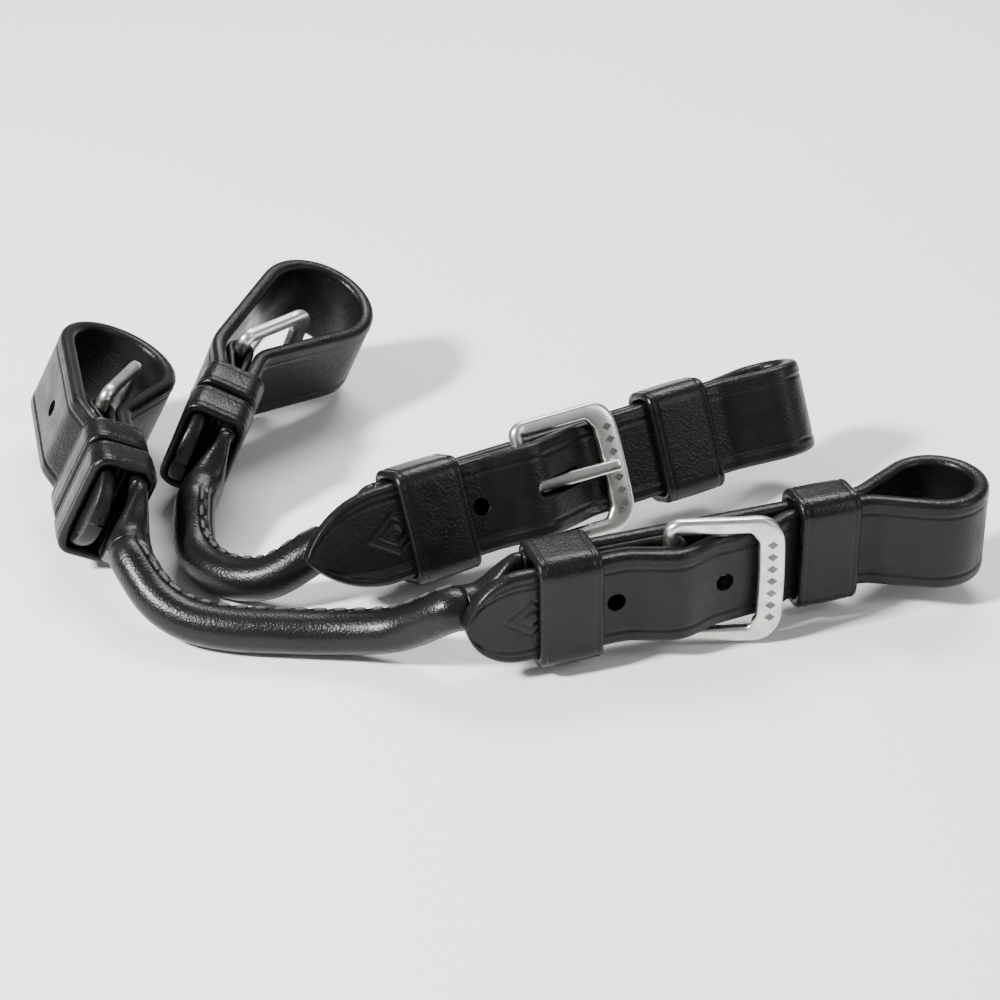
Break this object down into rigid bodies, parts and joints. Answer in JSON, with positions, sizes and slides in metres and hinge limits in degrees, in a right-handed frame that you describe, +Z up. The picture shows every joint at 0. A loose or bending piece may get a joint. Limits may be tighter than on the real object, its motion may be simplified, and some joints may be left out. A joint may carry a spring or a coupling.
{
  "type": "rein converter pair",
  "caption": "Pair of rolled leather rein converters with buckled strap loops that join the rings of a bit.",
  "frame": {"origin": "under the middle of the pair, on the surface that it lies on", "axes": "+X to the right along the buckled straps, +Y to the back, +Z up"},
  "size_m": [0.1636, 0.1115, 0.026],
  "materials": {
    "strap_leather": "gloss",
    "roll_leather": "gloss",
    "keeper_leather": "gloss",
    "chape_leather": "satin",
    "thread": "matte",
    "filler": "matte",
    "steel": "satin"
  },
  "bodies": {
    "front_rounding": {"front_roll_cover": "roll_leather", "front_roll_core": "filler", "front_roll_seam_thread": "thread", "front_right_neck": "roll_leather", "front_right_billet": "strap_leather", "front_right_chape": "chape_leather", "front_right_chape_stitches": "thread", "front_right_fixed_keeper": "keeper_leather", "front_left_neck": "roll_leather", "front_left_billet": "strap_leather", "front_left_chape": "chape_leather", "front_left_chape_stitches": "thread", "front_left_fixed_keeper": "keeper_leather"},
    "rear_rounding": {"rear_roll_cover": "roll_leather", "rear_roll_core": "filler", "rear_roll_seam_thread": "thread", "rear_right_neck": "roll_leather", "rear_right_billet": "strap_leather", "rear_right_chape": "chape_leather", "rear_right_chape_stitches": "thread", "rear_right_fixed_keeper": "keeper_leather", "rear_left_neck": "roll_leather", "rear_left_billet": "strap_leather", "rear_left_chape": "chape_leather", "rear_left_chape_stitches": "thread", "rear_left_fixed_keeper": "keeper_leather"},
    "front_right_buckle_frame": {"front_right_buckle_frame": "steel"},
    "front_right_buckle_prong": {"front_right_buckle_prong": "steel"},
    "front_right_runner_keeper": {"front_right_runner_keeper": "keeper_leather"},
    "front_left_buckle_frame": {"front_left_buckle_frame": "steel"},
    "front_left_buckle_prong": {"front_left_buckle_prong": "steel"},
    "front_left_runner_keeper": {"front_left_runner_keeper": "keeper_leather"},
    "rear_right_buckle_frame": {"rear_right_buckle_frame": "steel"},
    "rear_right_buckle_prong": {"rear_right_buckle_prong": "steel"},
    "rear_right_runner_keeper": {"rear_right_runner_keeper": "keeper_leather"},
    "rear_left_buckle_frame": {"rear_left_buckle_frame": "steel"},
    "rear_left_buckle_prong": {"rear_left_buckle_prong": "steel"},
    "rear_left_runner_keeper": {"rear_left_runner_keeper": "keeper_leather"}
  },
  "joints": [
    {"name": "rear_lift", "type": "slide", "parent": "front_rounding", "child": "rear_rounding", "axis": [0, 0, 1], "range_m": [0, 0.06]},
    {"name": "front_right_buckle_swing", "type": "hinge", "parent": "front_rounding", "child": "front_right_buckle_frame", "pos_m": [0.02946, -0.04248, 0.01153], "axis": [0.0166, 0.0055, -0.9998], "range_deg": [0, 20]},
    {"name": "front_right_prong_swing", "type": "hinge", "parent": "front_rounding", "child": "front_right_buckle_prong", "pos_m": [0.02946, -0.04248, 0.01153], "axis": [0.0166, 0.0055, -0.9998], "range_deg": [-0.8, 0]},
    {"name": "front_right_runner_slide", "type": "slide", "parent": "front_rounding", "child": "front_right_runner_keeper", "axis": [0.9482, 0.3173, 0.0175], "range_m": [-0.0004, 0.0016]},
    {"name": "front_left_buckle_swing", "type": "hinge", "parent": "front_rounding", "child": "front_left_buckle_frame", "pos_m": [-0.06814, 0.00002, 0.01353], "axis": [0.4546, 0.0575, 0.8888], "range_deg": [-7, 9]},
    {"name": "front_left_prong_swing", "type": "hinge", "parent": "front_rounding", "child": "front_left_buckle_prong", "pos_m": [-0.06814, 0.00002, 0.01353], "axis": [0.4546, 0.0575, 0.8888], "range_deg": [-6, 5]},
    {"name": "front_left_runner_slide", "type": "slide", "parent": "front_rounding", "child": "front_left_runner_keeper", "axis": [-0.2582, 0.9636, 0.0698], "range_m": [-0.0006, 0.001]},
    {"name": "rear_right_buckle_swing", "type": "hinge", "parent": "rear_rounding", "child": "rear_right_buckle_frame", "pos_m": [0.00766, -0.01508, 0.01253], "axis": [0.2314, -0.3379, -0.9123], "range_deg": [0, 25]},
    {"name": "rear_right_prong_swing", "type": "hinge", "parent": "rear_right_buckle_frame", "child": "rear_right_buckle_prong", "pos_m": [0.00766, -0.01508, 0.01253], "axis": [0.2314, -0.3379, -0.9123], "range_deg": [0, 30]},
    {"name": "rear_right_runner_slide", "type": "slide", "parent": "rear_rounding", "child": "rear_right_runner_keeper", "axis": [0.8842, 0.4642, 0.0523], "range_m": [-0.0055, 0.0035]},
    {"name": "rear_left_buckle_swing", "type": "hinge", "parent": "rear_rounding", "child": "rear_left_buckle_frame", "pos_m": [-0.04574, 0.02182, 0.01443], "axis": [0.3785, -0.1958, 0.9047], "range_deg": [-9, 9]},
    {"name": "rear_left_prong_swing", "type": "hinge", "parent": "rear_rounding", "child": "rear_left_buckle_prong", "pos_m": [-0.04574, 0.02182, 0.01443], "axis": [0.3785, -0.1958, 0.9047], "range_deg": [-6, 3]},
    {"name": "rear_left_runner_slide", "type": "slide", "parent": "rear_rounding", "child": "rear_left_runner_keeper", "axis": [0.172, 0.9752, 0.1392], "range_m": [-0.0006, 0.001]}
  ]
}
